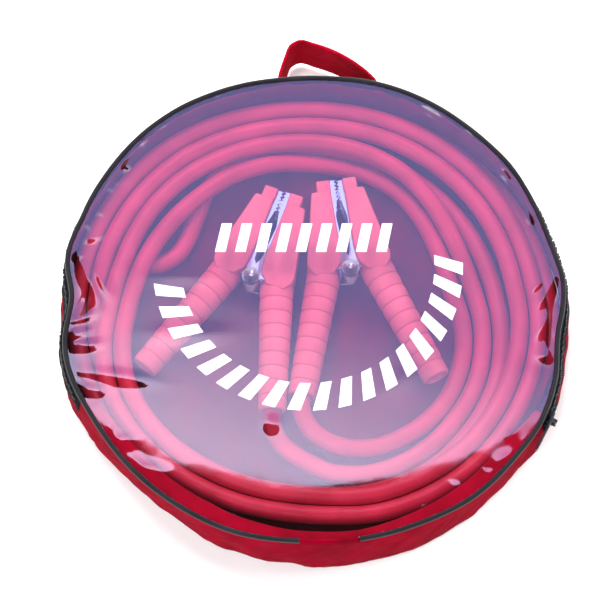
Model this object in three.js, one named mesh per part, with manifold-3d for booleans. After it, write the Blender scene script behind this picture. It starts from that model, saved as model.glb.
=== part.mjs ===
import * as THREE from 'three';
import { mergeVertices } from 'three/addons/utils/BufferGeometryUtils.js';
import Module from 'manifold-3d';

// A car jumper cable: one folded lead with two spring clamps, coiled in a round zipped carry bag.
// Millimetres, +Z up, origin in the middle of the underside of the bag's back panel.
// The carry handle is on the +Y side. Azimuth is measured from +X towards +Y, in degrees.

const wasm = await Module();
wasm.setup();

// Bag
const rimRadius = 177;
const wallBulge = 3.5;
const wallThickness = 1.4;
const bulgeHeight = 15;
const panelThickness = 1.6;
const panelMargin = 1;
const redWallHeight = 30;
const hingeOverlap = 1;
const zipTapeWidth = 7;
const zipTapeThickness = 1.2;
const zipStart = -30;
const zipEnd = 205;
const zipEndGap = 0.4;
const pipingRadius = 1.8;
const pipingJoinStart = 267;
const pipingJoinEnd = 280;
const windowThickness = 1;
const seatGap = 0.3;
const bagSegments = 72;
const beadSides = 6;
const smallSides = 8;

// Zip slider
const sliderLength = 13;
const sliderHeight = 9.5;
const sliderPlate = 1.6;
const sliderInset = 2;
const bailLift = 2.9;
const bailWidth = 3;
const bailSpan = 7;
const bailThickness = 1;
const bailMargin = 0.4;
const barRadius = 0.8;
const eyeWall = 1;
const pullLength = 24;
const pullWidth = 6;
const pullThickness = 1.6;

// Handle
const strapWidth = 24;
const strapThickness = 2.2;
const strapLean = 0.26;
const strapSteps = 22;
const strapHeight = 16;
const strapLeftX = -25;
const strapRightX = 45;

// Lead
const cableDiameter = 13;
const layerPitch = 13.2;
const cableSides = 8;
const cableStep = 30;
const coilStepAngle = 12;
const foldAzimuth = 150;
const foldOuterRadius = 166;
const foldInnerRadius = 110;
const foldSteps = 8;

// Clamps, in a frame of their own with the pivot at the origin and the jaws towards +Y
const clampThickness = 25.4;
const jawReach = 70;
const coverWall = 2.1;
const coverBevel = 1.2;
const coverFrontWall = 1.6;
const jawGap = 4.6;
const capWidth = 10;
const capLength = 9;
const shoulderStep = 3.7;
const capSlope = 1;
const coverOuterRear = 29.8;
const coverRearY = 5.5;
const lobeX = 6.2;
const lobeY = 4.5;
const lobeFrontX = 4.8;
const lobeFrontY = 17;
const gripStartX = 19;
const gripStartY = 1;
const gripEndX = 48;
const gripEndY = -87.7;
const gripFrontRadius = 12;
const gripEndRadius = 9.6;
const gripEndRound = 1.2;
const gripRings = 8;
const gripCollar = 9;
const ringGroove = 0.8;
const grooveWidth = 1;
const gripSides = 12;
const heelInset = 3;
const heelDrop = 2;
const steelThickness = 1.4;
const steelClearance = 0.4;
const earRadius = 6.5;
const earFrom = 110;
const earTo = 352;
const earSteps = 8;
const jawThroatX = 4.2;
const jawThroatY = 41;
const jawNeckX = 2.4;
const jawNeckY = 14;
const pinRadius = 3;
const pinHeadRadius = 6.2;
const pinHeadHeight = 1.5;
const springRadius = 6.5;
const toothPitch = 3;
const toothDepth = 1.7;
const toothCount = 6;
const leftPivot = { x: -45, y: 27, turn: -19.8 };
const rightPivot = { x: 26, y: 33, turn: 8.4 };

// Sizes worked out from the driving ones
const cableRadius = cableDiameter / 2;
const floorLayer = panelThickness + seatGap + cableRadius;
const panelRadius = rimRadius + panelMargin;
const wallFoot = panelThickness + seatGap;
const lowerTapeFoot = redWallHeight + seatGap;
const upperTapeFoot = lowerTapeFoot + zipTapeWidth + seatGap;
const wallTop = upperTapeFoot + zipTapeWidth;
const pipingHeight = wallTop + seatGap + pipingRadius;
const windowRadius = rimRadius - pipingRadius - seatGap;
const windowFoot = pipingHeight - windowThickness / 2;
const zipMiddle = upperTapeFoot - seatGap / 2;
const sliderAzimuth = zipStart + sliderInset;
const clampMiddle = panelThickness + seatGap + clampThickness / 2;
const shellDepth = clampThickness / 2 - coverWall;
const outerPlateTop = shellDepth - seatGap;
const innerPlateTop = outerPlateTop - steelThickness - steelClearance;
const springHalf = innerPlateTop - steelThickness - steelClearance;
const capInnerX = jawGap + capWidth - coverWall - steelClearance;
const shoulderY = jawReach - capLength - capSlope - coverWall;
const webFrontX = jawGap + capWidth + shoulderStep - coverWall - steelClearance;
const webRearX = coverOuterRear - coverWall - steelClearance;
const webRearY = coverRearY;
const heelY = gripStartY - heelDrop / 2;
const strapLeftY = Math.sqrt((rimRadius + wallBulge) ** 2 - strapLeftX ** 2) + seatGap;
const strapRightY = Math.sqrt((rimRadius + wallBulge) ** 2 - strapRightX ** 2) + seatGap;

// Middle of the handle's webbing from its left seam, out and round to its right seam
const strapPath = [
  [strapLeftX, strapLeftY, strapHeight],
  [-25.6, rimRadius + 7, strapHeight],
  [-24, rimRadius + 14, strapHeight],
  [-21, rimRadius + 23, strapHeight],
  [-17.5, rimRadius + 32, strapHeight],
  [-10, rimRadius + 36, strapHeight],
  [0, rimRadius + 33, strapHeight],
  [11, rimRadius + 29, strapHeight],
  [22, rimRadius + 23.5, strapHeight],
  [32, rimRadius + 17, strapHeight],
  [40.5, rimRadius + 10, strapHeight],
  [45.8, rimRadius + 3.5, strapHeight],
  [strapRightX, strapRightY, strapHeight],
];

// How the two strands of the folded lead lie: azimuth in degrees counted on through the turns,
// radius in millimetres and the layer, 0 on the panel and 1 on the strands beneath
const innerLane = [
  [300, 107, 0], [320, 111, 0], [336, 110.5, 0], [355, 107, 0], [370, 101.5, 0], [385, 102.5, 0],
  [400, 108.2, 0], [420, 118, 0], [437, 121, 0], [450, 122, 0.1], [465, 122, 0.7], [480, 122.5, 1],
  [495, 123, 1], [510, 125.5, 1], [528, 129, 1], [543, 133.6, 0.95], [553, 138.9, 0.95], [562, 141.2, 1],
  [578, 140.9, 1], [600, 137, 1], [628, 134.5, 1], [645, 139.5, 1], [664, 143, 1], [685, 145.5, 1],
  [714, 146, 1], [730, 144, 1], [750, 145, 1], [780, 146.5, 1], [816, 148, 1], [846, 154, 1],
  [858, 155.3, 1], [880, 155.8, 0.96], [888, 156, 0.75], [897, 156, 0.33], [905, 155.5, 0.06], [913, 153.8, 0],
  [925, 149.5, 0], [940, 142, 0], [960, 133.5, 0], [988, 131, 0], [1005, 134.3, 0], [1024, 138, 0],
  [1041, 138, 0], [1060, 137.3, 0], [1075, 134.3, 0], [1093, 131, 0], [1110, 131, 0], [1140, 132.5, 0],
  [1170, 135.5, 0], [1190, 136, 0], [1203, 132.5, 0], [1215, 119.5, 0], [1223, 111.8, 0],
  [1230, foldInnerRadius, 0],
];
const outerLane = [
  [276, 115.5, 0], [285, 120.3, 0], [300, 124, 0], [309, 124.8, 0], [324, 124.6, 0], [338, 124, 0],
  [355, 120.6, 0], [375, 116, 0], [390, 117.2, 0.28], [402, 120, 0.8], [420, 127.5, 1], [435, 131.5, 1],
  [456, 134.8, 1], [486, 140.5, 1], [498, 142, 1], [528, 142.6, 1], [543, 147.1, 0.95], [553, 152.4, 0.95],
  [562, 154.6, 1], [578, 154.3, 1], [600, 150.5, 1], [628, 148, 1], [645, 153, 1], [664, 156.5, 1],
  [685, 159, 1], [714, 159.5, 1], [730, 157.5, 1], [750, 158.5, 1], [780, 160, 1], [816, 161.5, 1],
  [846, 167.3, 1], [858, 168.8, 1], [880, 169.2, 0.96], [888, 169.3, 0.75], [897, 169.3, 0.33],
  [905, 168.9, 0.06], [913, 167.3, 0], [925, 163, 0], [940, 155.5, 0], [960, 147, 0], [988, 144.5, 0],
  [1005, 147.8, 0], [1024, 151.5, 0], [1041, 156, 0], [1058, 164, 0], [1075, 168.8, 0], [1090, 168.8, 0],
  [1110, 168.5, 0], [1138, 167.5, 0], [1170, 166.2, 0], [1200, foldOuterRadius, 0], [1230, foldOuterRadius, 0],
];

// The two stretches between a grip's end and the coil
const leftClampExit = [
  [-29.56, -72.3, clampMiddle],
  [-29.6, -77, clampMiddle - 0.1],
  [-27.9, -86.2, clampMiddle - 0.7],
  [-23.1, -94.6, clampMiddle - 1.9],
  [-16.2, -100.7, clampMiddle - 3.2],
  [-7.4, -106.2, clampMiddle - 4.6],
  [2.2, -110.9, clampMiddle - 5.8],
];
const rightClampExit = [
  [-8.9, -62, clampMiddle],
  [-9.1, -67, clampMiddle],
  [-7.9, -74.3, clampMiddle - 0.4],
  [-4.5, -81.5, clampMiddle - 1.1],
  [0.9, -87.4, clampMiddle - 2.2],
  [8, -91.8, clampMiddle - 3.6],
  [17.2, -95.3, clampMiddle - 5.1],
  [28, -97, floorLayer],
  [40, -96.6, floorLayer],
];

const red = { color: 0xb01030, roughness: 0.55, metalness: 0 };
const redPlastic = { color: 0xc21232, roughness: 0.4, metalness: 0 };
const black = { color: 0x141416, roughness: 0.6, metalness: 0 };
const steel = { color: 0xc8c8cc, roughness: 0.25, metalness: 1 };
const clear = { color: 0xdfe4f2, roughness: 0.1, metalness: 0, transparent: true, opacity: 0.35 };

const group = new THREE.Group();
const radians = THREE.MathUtils.degToRad;

function named(name, geometry, look, parent = group) {
  const mesh = new THREE.Mesh(geometry, new THREE.MeshStandardMaterial(look));
  mesh.name = name;
  parent.add(mesh);
  return mesh;
}

// A closed body from points and triangles, with its faces turned outwards
function closedBody(points, triangles) {
  let volume = 0;
  for (const [a, b, c] of triangles) {
    volume += points[a].dot(new THREE.Vector3().crossVectors(points[b], points[c]));
  }
  const order = volume < 0 ? triangles.map(([a, b, c]) => [a, c, b]) : triangles;
  const geometry = new THREE.BufferGeometry().setFromPoints(points);
  geometry.setIndex(order.flat());
  return geometry;
}

// Joins rings of points into a tube, capped at both ends unless it closes on itself
function skin(rings, cap, closes) {
  const size = rings[0].length;
  const points = rings.flat();
  const triangles = [];
  const spans = closes ? rings.length : rings.length - 1;
  for (let i = 0; i < spans; i += 1) {
    const here = i * size;
    const next = ((i + 1) % rings.length) * size;
    for (let j = 0; j < size; j += 1) {
      const k = (j + 1) % size;
      triangles.push([here + j, next + j, next + k], [here + j, next + k, here + k]);
    }
  }
  if (!closes) {
    const last = (rings.length - 1) * size;
    for (const [a, b, c] of cap) {
      triangles.push([a, b, c], [last + a, last + c, last + b]);
    }
  }
  return closedBody(points, triangles);
}

// Sweeps a section of [radius, height] points round the bag, from one azimuth to another
function sweepRound(section, from, to) {
  const closes = to - from >= 360;
  const steps = Math.max(2, Math.round((to - from) / (360 / bagSegments)));
  const stations = closes ? steps : steps + 1;
  const outline = section.map(([r, z]) => new THREE.Vector2(r, z));
  const cap = THREE.ShapeUtils.triangulateShape(outline, []);
  const rings = [];
  for (let i = 0; i < stations; i += 1) {
    const angle = radians(from + ((to - from) * i) / steps);
    rings.push(section.map(([r, z]) => new THREE.Vector3(r * Math.cos(angle), r * Math.sin(angle), z)));
  }
  return skin(rings, cap, closes);
}

function asSolid(geometry) {
  const plain = geometry.clone();
  plain.deleteAttribute('normal');
  plain.deleteAttribute('uv');
  const merged = mergeVertices(plain, 1e-4);
  return new wasm.Manifold(new wasm.Mesh({
    numProp: 3,
    vertProperties: new Float32Array(merged.attributes.position.array),
    triVerts: new Uint32Array(merged.index.array),
  }));
}

function asGeometry(solid) {
  const mesh = solid.getMesh();
  const geometry = new THREE.BufferGeometry();
  geometry.setAttribute('position', new THREE.BufferAttribute(mesh.vertProperties, 3));
  geometry.setIndex(new THREE.BufferAttribute(mesh.triVerts, 1));
  return geometry;
}

// Outer radius of the side wall at a height: it swells between the panel and the rim
function wallRadius(z) {
  const reach = z < bulgeHeight ? (z - bulgeHeight) / bulgeHeight : (z - bulgeHeight) / (wallTop - bulgeHeight);
  return rimRadius + wallBulge * (1 - reach * reach);
}

function wallSection(heights, thickness) {
  const outer = heights.map((z) => [wallRadius(z), z]);
  const inner = heights.map((z) => [wallRadius(z) - thickness, z]).reverse();
  return outer.concat(inner);
}

// A flat round sheet with its underside at a height
function disc(radius, thickness, foot) {
  const profile = [
    new THREE.Vector2(0, 0),
    new THREE.Vector2(radius, 0),
    new THREE.Vector2(radius, thickness),
    new THREE.Vector2(0, thickness),
  ];
  return new THREE.LatheGeometry(profile, bagSegments).rotateX(Math.PI / 2).translate(0, 0, foot);
}

// Bag: panel, wall, zip, piping and window
function makeBag() {
  named('back_panel', disc(panelRadius, panelThickness, 0), red);
  named('window', disc(windowRadius, windowThickness, windowFoot), clear);

  const ring = asSolid(sweepRound(wallSection([wallFoot, bulgeHeight, redWallHeight], wallThickness), 0, 360));
  const hingeSection = wallSection([redWallHeight - hingeOverlap, wallTop], wallThickness);
  const hinge = asSolid(sweepRound(hingeSection, zipEnd + zipEndGap, zipStart + 360 - zipEndGap));
  named('side_wall', asGeometry(ring.add(hinge)), red);

  const lowerTape = wallSection([lowerTapeFoot, lowerTapeFoot + zipTapeWidth], zipTapeThickness);
  named('zip_tape_lower', sweepRound(lowerTape, zipStart, zipEnd), black);
  const upperTape = wallSection([upperTapeFoot, wallTop], zipTapeThickness);
  named('zip_tape_upper', sweepRound(upperTape, zipStart, zipEnd), black);

  const bead = [];
  for (let i = 0; i < beadSides; i += 1) {
    const angle = radians((360 * i) / beadSides);
    bead.push([rimRadius + pipingRadius * Math.cos(angle), pipingHeight + pipingRadius * Math.sin(angle)]);
  }
  named('piping', sweepRound(bead, pipingJoinEnd, pipingJoinStart + 360), black);
  named('piping_join', sweepRound(bead, pipingJoinStart + zipEndGap / 2, pipingJoinEnd - zipEndGap / 2), red);
}

// Webbing handle: both ends are sewn to the far side of the wall
function makeHandle() {
  const path = new THREE.CatmullRomCurve3(strapPath.map(([x, y, z]) => new THREE.Vector3(x, y, z)));
  const rings = [];
  for (let i = 0; i <= strapSteps; i += 1) {
    const t = i / strapSteps;
    const centre = path.getPoint(t);
    const along = path.getTangent(t);
    const lean = strapLean * Math.sin(Math.PI * t);
    const across = new THREE.Vector3(0, Math.sin(lean), Math.cos(lean));
    const through = new THREE.Vector3().crossVectors(along, across).normalize();
    const corner = (u, v) => centre.clone().addScaledVector(across, u).addScaledVector(through, v);
    const w = strapWidth / 2;
    const h = strapThickness / 2;
    rings.push([corner(-w, -h), corner(w, -h), corner(w, h), corner(-w, h)]);
  }
  named('handle_strap', skin(rings, [[0, 1, 2], [0, 2, 3]], false), red);
}

function boxAt(x0, x1, y0, y1, z0, z1) {
  const box = new THREE.BoxGeometry(x1 - x0, y1 - y0, z1 - z0);
  return box.translate((x0 + x1) / 2, (y0 + y1) / 2, (z0 + z1) / 2);
}

// Upright cylinder between two heights
function post(radius, x, y, z0, z1, sides) {
  return new THREE.CylinderGeometry(radius, radius, z1 - z0, sides).rotateX(Math.PI / 2)
    .translate(x, y, (z0 + z1) / 2);
}

// Zip slider with its bail, and the pull tab that turns on the bail; x points out of the bag
function makeZipSlider() {
  const place = new THREE.Group();
  const face = wallRadius(zipMiddle - sliderHeight / 2) + seatGap;
  place.rotation.z = radians(sliderAzimuth);
  group.add(place);
  const top = face + sliderPlate;
  const bar = top + bailLift;
  const bodyLow = zipMiddle - sliderHeight / 2;
  const bodyHigh = zipMiddle + sliderHeight / 2;
  let body = asSolid(boxAt(face, top, -sliderLength / 2, sliderLength / 2, bodyLow, bodyHigh));
  for (const up of [-1, 1]) {
    const inner = zipMiddle + up * (bailSpan / 2);
    const outer = zipMiddle + up * (bailSpan / 2 + bailThickness);
    const low = Math.min(inner, outer);
    const high = Math.max(inner, outer);
    const reach = bar + barRadius + bailMargin;
    body = body.add(asSolid(boxAt(top - bailMargin, reach, -bailWidth / 2, bailWidth / 2, low, high)));
  }
  const barLow = zipMiddle - bailSpan / 2 - bailThickness / 2;
  const barHigh = zipMiddle + bailSpan / 2 + bailThickness / 2;
  body = body.add(asSolid(post(barRadius, bar, 0, barLow, barHigh, smallSides)));
  named('zip_slider', asGeometry(body), black, place);

  const tabLow = zipMiddle - pullWidth / 2;
  const tabHigh = zipMiddle + pullWidth / 2;
  const eyeRadius = barRadius + seatGap;
  const tab = boxAt(bar - pullThickness / 2, bar + pullThickness / 2, -pullLength, 0, tabLow, tabHigh);
  const knuckle = asSolid(post(eyeRadius + eyeWall, bar, 0, tabLow, tabHigh, smallSides));
  const eye = asSolid(post(eyeRadius, bar, 0, tabLow - 1, tabHigh + 1, smallSides));
  named('zip_pull', asGeometry(asSolid(tab).add(knuckle).subtract(eye)), black, place);
}

// Radius and height of a strand at an azimuth, eased through its lane's waypoints
function laneAt(lane, azimuth) {
  let i = 0;
  while (i < lane.length - 2 && azimuth > lane[i + 1][0]) {
    i += 1;
  }
  const slope = (k, column) => {
    const before = lane[Math.max(0, k - 1)];
    const after = lane[Math.min(lane.length - 1, k + 1)];
    return (after[column] - before[column]) / (after[0] - before[0]);
  };
  const span = lane[i + 1][0] - lane[i][0];
  const t = (azimuth - lane[i][0]) / span;
  const ease = (column) => {
    const a = lane[i][column];
    const b = lane[i + 1][column];
    const startPull = slope(i, column) * span * (t ** 3 - 2 * t ** 2 + t);
    const endPull = slope(i + 1, column) * span * (t ** 3 - t ** 2);
    return a + (b - a) * (3 * t ** 2 - 2 * t ** 3) + startPull + endPull;
  };
  return { radius: ease(1), height: floorLayer + layerPitch * ease(2) };
}

// Points of one strand of the coil, worked out turn after turn
function coilStrand(lane) {
  const first = lane[0][0];
  const last = lane[lane.length - 1][0];
  const steps = Math.round((last - first) / coilStepAngle);
  const points = [];
  for (let i = 0; i <= steps; i += 1) {
    const azimuth = first + ((last - first) * i) / steps;
    const { radius, height } = laneAt(lane, azimuth);
    points.push(new THREE.Vector3(
      radius * Math.cos(radians(azimuth)),
      radius * Math.sin(radians(azimuth)),
      height,
    ));
  }
  return points;
}

// The fold in the middle of the lead, where the outer strand turns back into the inner one
function foldPoints() {
  const middle = (foldOuterRadius + foldInnerRadius) / 2;
  const half = (foldOuterRadius - foldInnerRadius) / 2;
  const angle = radians(foldAzimuth);
  const out = new THREE.Vector3(Math.cos(angle), Math.sin(angle), 0);
  const along = new THREE.Vector3(-Math.sin(angle), Math.cos(angle), 0);
  const centre = out.clone().multiplyScalar(middle).setZ(floorLayer);
  const points = [];
  for (let i = 1; i < foldSteps; i += 1) {
    const turn = (Math.PI * i) / foldSteps;
    const point = centre.clone().addScaledVector(out, half * Math.cos(turn));
    points.push(point.addScaledVector(along, half * Math.sin(turn)));
  }
  return points;
}

// The whole lead: out of the left clamp, round the coil, back at the fold, into the right clamp
function leadPoints() {
  const outOf = (points) => points.map(([x, y, z]) => new THREE.Vector3(x, y, z));
  const outward = outOf(leftClampExit).concat(coilStrand(outerLane));
  const homeward = outOf(rightClampExit).concat(coilStrand(innerLane));
  return outward.concat(foldPoints(), homeward.reverse());
}

function makeLead() {
  const route = new THREE.CatmullRomCurve3(leadPoints(), false, 'centripetal');
  route.arcLengthDivisions = 4000;
  const section = new THREE.Shape();
  for (let i = 0; i < cableSides; i += 1) {
    const angle = radians((360 * (i + 0.5)) / cableSides);
    const x = cableRadius * Math.cos(angle);
    const y = cableRadius * Math.sin(angle);
    if (i === 0) {
      section.moveTo(x, y);
    } else {
      section.lineTo(x, y);
    }
  }
  section.closePath();
  const steps = Math.round(route.getLength() / cableStep);
  named('red_cable', new THREE.ExtrudeGeometry(section, { steps, extrudePath: route }), red);
}

// Plan outline as a prism between two heights
function prism(outline, z0, z1, bevel = 0) {
  const shape = new THREE.Shape(outline.map(([x, y]) => new THREE.Vector2(x, y)));
  const options = { depth: z1 - z0 - 2 * bevel, bevelEnabled: bevel > 0 };
  Object.assign(options, { bevelThickness: bevel, bevelSize: bevel, bevelOffset: -bevel, bevelSegments: 1 });
  return new THREE.ExtrudeGeometry(shape, options).translate(0, 0, z0 + bevel);
}

function mirrored(outline, side) {
  return outline.map(([x, y]) => [side * x, y]);
}

// Grip: stacked rings that taper to the end, turned about the arm's rear axis
function gripSolid(side) {
  const length = Math.hypot(gripEndX - gripStartX, gripEndY - gripStartY);
  const radiusAt = (s) => gripFrontRadius + ((gripEndRadius - gripFrontRadius) * s) / length;
  const profile = [new THREE.Vector2(0, gripCollar)];
  profile.push(new THREE.Vector2(gripFrontRadius - ringGroove, gripCollar));
  const ring = length / gripRings;
  for (let i = 0; i < gripRings; i += 1) {
    const front = i * ring;
    const rear = (i + 1) * ring;
    profile.push(new THREE.Vector2(radiusAt(front), -front));
    profile.push(new THREE.Vector2(radiusAt(rear), -rear + grooveWidth));
    if (i < gripRings - 1) {
      profile.push(new THREE.Vector2(radiusAt(rear) - ringGroove, -rear + grooveWidth / 2));
    }
  }
  profile.push(new THREE.Vector2(radiusAt(length) - gripEndRound, -length));
  profile.push(new THREE.Vector2(0, -length));
  const geometry = new THREE.LatheGeometry(profile.reverse(), gripSides);
  geometry.rotateZ(side * Math.atan2(gripEndX - gripStartX, gripStartY - gripEndY));
  return asSolid(geometry.translate(side * gripStartX, gripStartY, 0));
}

// The steel channel of one arm: two plates with ears at the pivot, joined by a web along the outer side
function jawOutline() {
  const teeth = [];
  for (let i = 0; i < toothCount; i += 1) {
    const y = jawReach - i * toothPitch;
    teeth.push([seatGap, y - seatGap], [seatGap + toothDepth, y - toothPitch / 2]);
  }
  const ear = [];
  for (let i = 0; i <= earSteps; i += 1) {
    const angle = radians(earFrom + ((earTo - earFrom) * i) / earSteps);
    ear.push([earRadius * Math.cos(angle), earRadius * Math.sin(angle)]);
  }
  return teeth.concat(
    [[toothDepth + seatGap, jawReach - toothCount * toothPitch], [jawThroatX, jawThroatY]],
    [[jawNeckX, jawNeckY]],
    ear,
    [[earRadius + steelClearance * 2, heelY], [webRearX - heelInset, heelY], [webRearX, webRearY]],
    [[webFrontX, shoulderY], [capInnerX, shoulderY]],
    [[capInnerX, jawReach - coverFrontWall - steelClearance]],
    [[jawGap - seatGap, jawReach - coverFrontWall - steelClearance], [jawGap - seatGap, jawReach]],
  );
}

function jawSolid(side, plateTop) {
  const outline = mirrored(jawOutline(), side);
  const plateFoot = plateTop - steelThickness;
  const upper = asSolid(prism(outline, plateFoot, plateTop));
  const lower = asSolid(prism(outline, -plateTop, -plateFoot));
  const webShape = [
    [webRearX, webRearY],
    [webFrontX, shoulderY],
    [webFrontX - steelThickness, shoulderY],
    [webRearX - steelThickness, webRearY],
  ];
  const web = asSolid(prism(mirrored(webShape, side), -plateTop, plateTop));
  const bore = asSolid(post(pinRadius + seatGap, 0, 0, -plateTop - 1, plateTop + 1, smallSides));
  return upper.add(lower).add(web).subtract(bore);
}

// Moulded cover of one arm: a shell round the steel channel, and the grip behind it
function coverSolid(side, plateTop) {
  const outline = [
    [jawGap, jawReach],
    [jawGap + capWidth, jawReach],
    [jawGap + capWidth, jawReach - capLength],
    [jawGap + capWidth + shoulderStep, jawReach - capLength - capSlope],
    [coverOuterRear, coverRearY],
    [gripStartX + gripFrontRadius - heelInset, gripStartY - heelDrop],
    [gripStartX - gripFrontRadius + heelInset, gripStartY - heelDrop],
    [lobeX, lobeY],
    [lobeFrontX, lobeFrontY],
    [jawThroatX + seatGap * 2, jawThroatY],
  ];
  const half = clampThickness / 2;
  const shell = asSolid(prism(mirrored(outline, side), -half, half, coverBevel));
  const pocket = [
    [-jawGap, jawReach + 1],
    [jawGap - seatGap, jawReach + 1],
    [jawGap - seatGap, jawReach - coverFrontWall],
    [capInnerX + steelClearance, jawReach - coverFrontWall],
    [capInnerX + steelClearance, shoulderY + steelClearance],
    [webFrontX + steelClearance, shoulderY + steelClearance],
    [webRearX + steelClearance, webRearY],
    [webRearX - heelInset + steelClearance, heelY - steelClearance],
    [-jawGap, heelY - steelClearance],
  ];
  const room = plateTop + seatGap;
  const channel = asSolid(prism(mirrored(pocket, side), -room, room));
  const pivotRoom = asSolid(post(earRadius + steelClearance * 2, 0, 0, -shellDepth, shellDepth, gripSides));
  const pocketed = shell.add(gripSolid(side));
  return pocketed.subtract(channel).subtract(pivotRoom);
}

function springGeometry() {
  const inner = pinRadius + seatGap;
  const profile = [
    new THREE.Vector2(inner, -springHalf),
    new THREE.Vector2(springRadius, -springHalf),
    new THREE.Vector2(springRadius, springHalf),
    new THREE.Vector2(inner, springHalf),
    new THREE.Vector2(inner, -springHalf),
  ];
  return new THREE.LatheGeometry(profile, gripSides).rotateX(Math.PI / 2);
}

function pinSolid() {
  const headFoot = outerPlateTop + seatGap;
  const headTop = headFoot + pinHeadHeight;
  const shank = asSolid(post(pinRadius, 0, 0, -headTop, headTop, smallSides));
  const upper = asSolid(post(pinHeadRadius, 0, 0, headFoot, headTop, gripSides));
  const lower = asSolid(post(pinHeadRadius, 0, 0, -headTop, -headFoot, gripSides));
  return shank.add(upper).add(lower);
}

// One clamp, jaws towards +Y of its own frame; the moving arm is the one away from the lead
function makeClamp(name, pivot, movingSide) {
  const place = new THREE.Group();
  place.position.set(pivot.x, pivot.y, clampMiddle);
  place.rotation.z = radians(pivot.turn);
  group.add(place);
  named(`${name}_fixed_cover`, asGeometry(coverSolid(-movingSide, outerPlateTop)), redPlastic, place);
  named(`${name}_moving_cover`, asGeometry(coverSolid(movingSide, innerPlateTop)), redPlastic, place);
  named(`${name}_fixed_jaw`, asGeometry(jawSolid(-movingSide, outerPlateTop)), steel, place);
  named(`${name}_moving_jaw`, asGeometry(jawSolid(movingSide, innerPlateTop)), steel, place);
  named(`${name}_pivot_pin`, asGeometry(pinSolid()), steel, place);
  named(`${name}_spring`, springGeometry(), steel, place);
}

makeBag();
makeHandle();
makeZipSlider();
makeLead();
makeClamp('left_clamp', leftPivot, -1);
makeClamp('right_clamp', rightPivot, 1);

export default group;
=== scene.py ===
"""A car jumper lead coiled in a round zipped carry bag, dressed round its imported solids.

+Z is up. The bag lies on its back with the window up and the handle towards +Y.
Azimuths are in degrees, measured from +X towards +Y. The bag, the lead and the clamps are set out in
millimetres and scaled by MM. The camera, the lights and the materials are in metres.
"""

import math

import bmesh
import bpy
import numpy as np
from mathutils import Matrix, Vector, noise


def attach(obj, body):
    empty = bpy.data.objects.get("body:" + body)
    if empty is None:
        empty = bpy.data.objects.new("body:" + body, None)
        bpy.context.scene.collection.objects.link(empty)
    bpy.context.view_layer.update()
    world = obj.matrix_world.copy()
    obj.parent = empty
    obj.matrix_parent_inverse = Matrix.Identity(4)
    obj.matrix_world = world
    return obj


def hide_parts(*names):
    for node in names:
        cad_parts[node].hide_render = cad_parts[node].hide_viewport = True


MM = 0.001
ROOT = "bag_with_lead"

# Camera: place, tilt in degrees, focal length in millimetres and nearest depth
CAMERA_AT = (-0.0047, -0.5164, 1.3309)
CAMERA_TILT = 21.693
CAMERA_LENS = 116.1
CAMERA_NEAR = 0.05

# Bag: radius of the piping's centre line and of the wall's foot, by azimuth
RIM = [
    (0.7, 174.3), (5.5, 175.3), (10.9, 172.9), (16.3, 171.8), (26.4, 172.4), (35.9, 174.1), (43.8, 173.7),
    (52.2, 174.0), (60.1, 175.0), (69.1, 175.6), (76.3, 175.4), (86.1, 174.0), (98.8, 174.2), (108.0, 176.0),
    (115.9, 177.0), (123.3, 178.2), (133.5, 178.3), (146.3, 176.8), (154.8, 176.4), (159.8, 175.6),
    (164.5, 176.7), (168.0, 177.3), (171.4, 175.8), (174.7, 172.5), (177.8, 169.0), (181.7, 169.3),
    (184.7, 171.5), (188.4, 174.7), (191.7, 176.3), (195.0, 176.9), (199.2, 176.8), (202.8, 176.0),
    (207.0, 174.6), (212.5, 174.0), (225.8, 174.4), (239.1, 174.8), (251.8, 175.6), (257.5, 174.9),
    (263.2, 174.0), (267.6, 173.5), (273.0, 174.0), (280.4, 174.7), (292.6, 175.7), (299.1, 176.9),
    (305.7, 178.4), (313.1, 178.4), (317.4, 177.8), (322.2, 177.9), (327.5, 178.8), (332.1, 178.2),
    (339.1, 176.1), (342.6, 174.9), (346.8, 171.6), (352.5, 170.4), (356.3, 172.7),
]
FOOT = [
    (0, 180), (30, 178), (60, 178), (90, 179), (120, 179), (150, 178), (180, 180), (195, 182), (201.5, 181.8),
    (209.7, 177.8), (218.1, 175.3), (226.5, 173.5), (235, 173.6), (242.6, 175.0), (247.4, 178.0),
    (250.8, 177.3), (259.4, 178.6), (264.8, 177.4), (267.8, 179.9), (270.8, 180.3), (273.4, 179.4),
    (277.0, 180.6), (282.5, 179.8), (288.6, 180.4), (301.8, 180.3), (308.1, 180.2), (315.0, 178.6),
    (321.3, 178.7), (327.7, 182.8), (333, 182.2), (345, 180.5),
]

# Step of the bag's meshes in degrees
BAG_STEP = 1.0

# Wall: its heights, the power of its lean, its bulge and sheet, and how its foot curls in
WALL_FOOT = 1.0
WALL_RED_TOP = 30.2
WALL_TOP = 44.8
WALL_OUTSIDE_RIM = 0.6
WALL_LEAN = 1.3
WALL_BULGE = 2.2
WALL_THICK = 1.2
FOOT_CURL = 1.6
FOOT_CURL_HEIGHT = 3.0

# Folds of the wall: depth, fineness round the bag, slant by height, and height of one fold
FOLDS = [(1.7, 9, 0.004, 40), (1.2, 26, -0.006, 16)]
FOLD_FADE_TOP = 3.5
FOLD_FADE_FOOT = 3
FOLD_AT_FOOT = 0.35

# Zip: the part of the rim it runs along, its tapes' heights, and its teeth
ZIP_START = -30.0
ZIP_END = 205.0
ZIP_LOW = (30.0, 37.42)
ZIP_HIGH = (37.5, 44.9)
TAPE_LAP = 1.5
TAPE_LOW_LIFT = 0.5
TAPE_HIGH_LIFT = 0.3
TAPE_THICK = 0.9
TOOTH_PITCH = 2.5
TOOTH_RING = 178
TOOTH_SIZE = (1.3, 1.7, 2.3)
TOOTH_STAGGER = 0.55
TOOTH_LIFT = 0.9
TOOTH_BEVEL = 0.3
TOOTH_MARGIN = 0.5

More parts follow.
